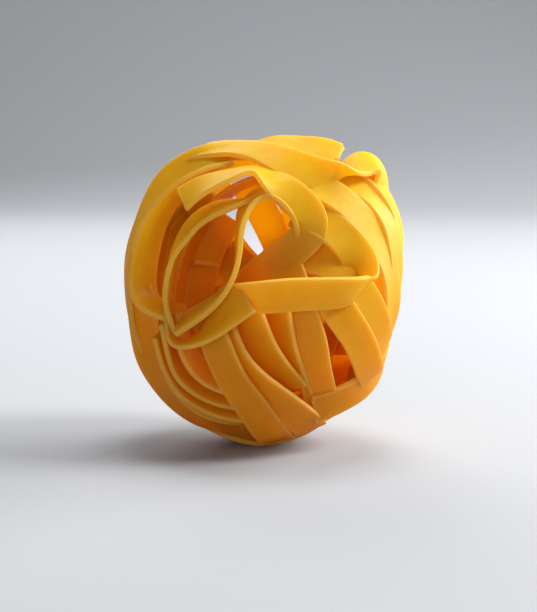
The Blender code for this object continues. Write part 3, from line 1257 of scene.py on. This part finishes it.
@dataclass
class Studio:
    """Floor with a swept backdrop, soft lights and the camera, around the nest's box."""

    low: Vector
    high: Vector
    elevation: float = 8.0
    lens: float = 100.0
    frame_height_share: float = 0.508
    aim_right: float = 0.0010
    aim_down: float = 0.0034
    sensor: float = 36.0
    clip: Pair = (0.01, 20.0)
    paper: Colour = (0.34, 0.35, 0.37)
    sky: Colour = (0.92, 0.95, 1.0)
    sky_strength: float = 0.22
    half_width: float = 2.2
    rows_across: int = 9
    bend_points: int = 25
    sweep_radius: float = 0.5
    floor_near: float = 1.6
    floor_back: float = 0.6
    wall: float = 1.6

    def build(self) -> None:
        """Make the stage, the lights, the world and the camera."""
        self.backdrop()
        for lamp in LAMPS:
            lamp.build((self.low + self.high) / 2)
        self.world()
        self.camera()

    def backdrop(self) -> None:
        """Make a floor that bends up into a wall.

        Formula: a straight, a quarter circle and a straight, carried sideways.
        """
        bend = np.radians(np.linspace(0.0, 90.0, self.bend_points))
        profile = np.concatenate([
            [[-self.floor_near, 0.0]],
            np.stack([self.floor_back + self.sweep_radius * np.sin(bend),
                      self.sweep_radius * (1.0 - np.cos(bend))], axis=1),
            [[self.floor_back + self.sweep_radius, self.wall]]])
        sides = np.linspace(-self.half_width, self.half_width, self.rows_across)
        grid = np.stack([np.repeat(sides[:, None], len(profile), axis=1),
                         np.repeat(profile[None, :, 0], len(sides), axis=0),
                         np.repeat(profile[None, :, 1], len(sides), axis=0)], axis=-1)
        index = np.arange(len(sides) * len(profile)).reshape(len(sides), -1)
        faces = np.stack([index[:-1, :-1], index[1:, :-1], index[1:, 1:], index[:-1, 1:]], axis=-1)
        mesh = bpy.data.meshes.new("backdrop")
        mesh.from_pydata(grid.reshape(-1, 3).tolist(), [], faces.reshape(-1, 4).tolist())
        mesh.shade_smooth()
        mesh.materials.append(Finish("stage_paper", self.paper).material())
        sheet = bpy.data.objects.new("backdrop", mesh)
        bpy.context.scene.collection.objects.link(sheet)

    def world(self) -> None:
        """Even pale surroundings."""
        world = bpy.data.worlds.new("surroundings")
        world.use_nodes = True
        shade = world.node_tree.nodes["Background"]
        shade.inputs["Color"].default_value = (*self.sky, 1.0)
        shade.inputs["Strength"].default_value = self.sky_strength
        bpy.context.scene.world = world

    def camera(self) -> None:
        """Set the camera, which looks along +Y from a little above.

        Formula: the nest's height fills a set share of the lens's view of the longer side.
        """
        height = self.high.z - self.low.z
        distance = height / self.frame_height_share * self.lens / self.sensor
        tilt = math.radians(self.elevation)
        forward = Vector((0.0, math.cos(tilt), -math.sin(tilt)))
        upward = Vector((0.0, math.sin(tilt), math.cos(tilt)))
        aim = (self.low + self.high) / 2 + Vector((self.aim_right, 0.0, 0.0)) - upward * self.aim_down
        data = bpy.data.cameras.new("camera")
        data.lens = self.lens
        data.sensor_width = self.sensor
        data.sensor_fit = "AUTO"
        data.clip_start, data.clip_end = self.clip
        thing = bpy.data.objects.new("camera", data)
        thing.matrix_world = facing(aim - forward * distance, aim)
        bpy.context.scene.collection.objects.link(thing)
        bpy.context.scene.camera = thing


def facing(place: Vector, target: Vector) -> Matrix:
    """Place a camera or a lamp so that it looks at a target with its Y upwards.

    Args:
        place: Where it stands.
        target: What its -Z points at.

    Returns:
        Its world matrix.
    """
    turn = (target - place).to_track_quat("-Z", "Y")
    return Matrix.Translation(place) @ turn.to_matrix().to_4x4()


# ---- all together


def main() -> None:
    """Build every group of ribbons, the stage and the camera."""
    logging.basicConfig(level=logging.INFO, format="%(name)s %(message)s")
    bpy.context.scene.view_settings.view_transform = "Standard"
    low, high = (Vector(corner) for corner in CAD_BOX)
    finish = PastaFinish()
    for number, group in enumerate(GROUPS):
        pieces = group(finish, first_seed=SEEDS_PER_GROUP * number + 1).build()
        LOG.info("%s: %d pieces", group.__name__, len(pieces))
    Studio(low, high).build()


if __name__ == "__main__":
    main()
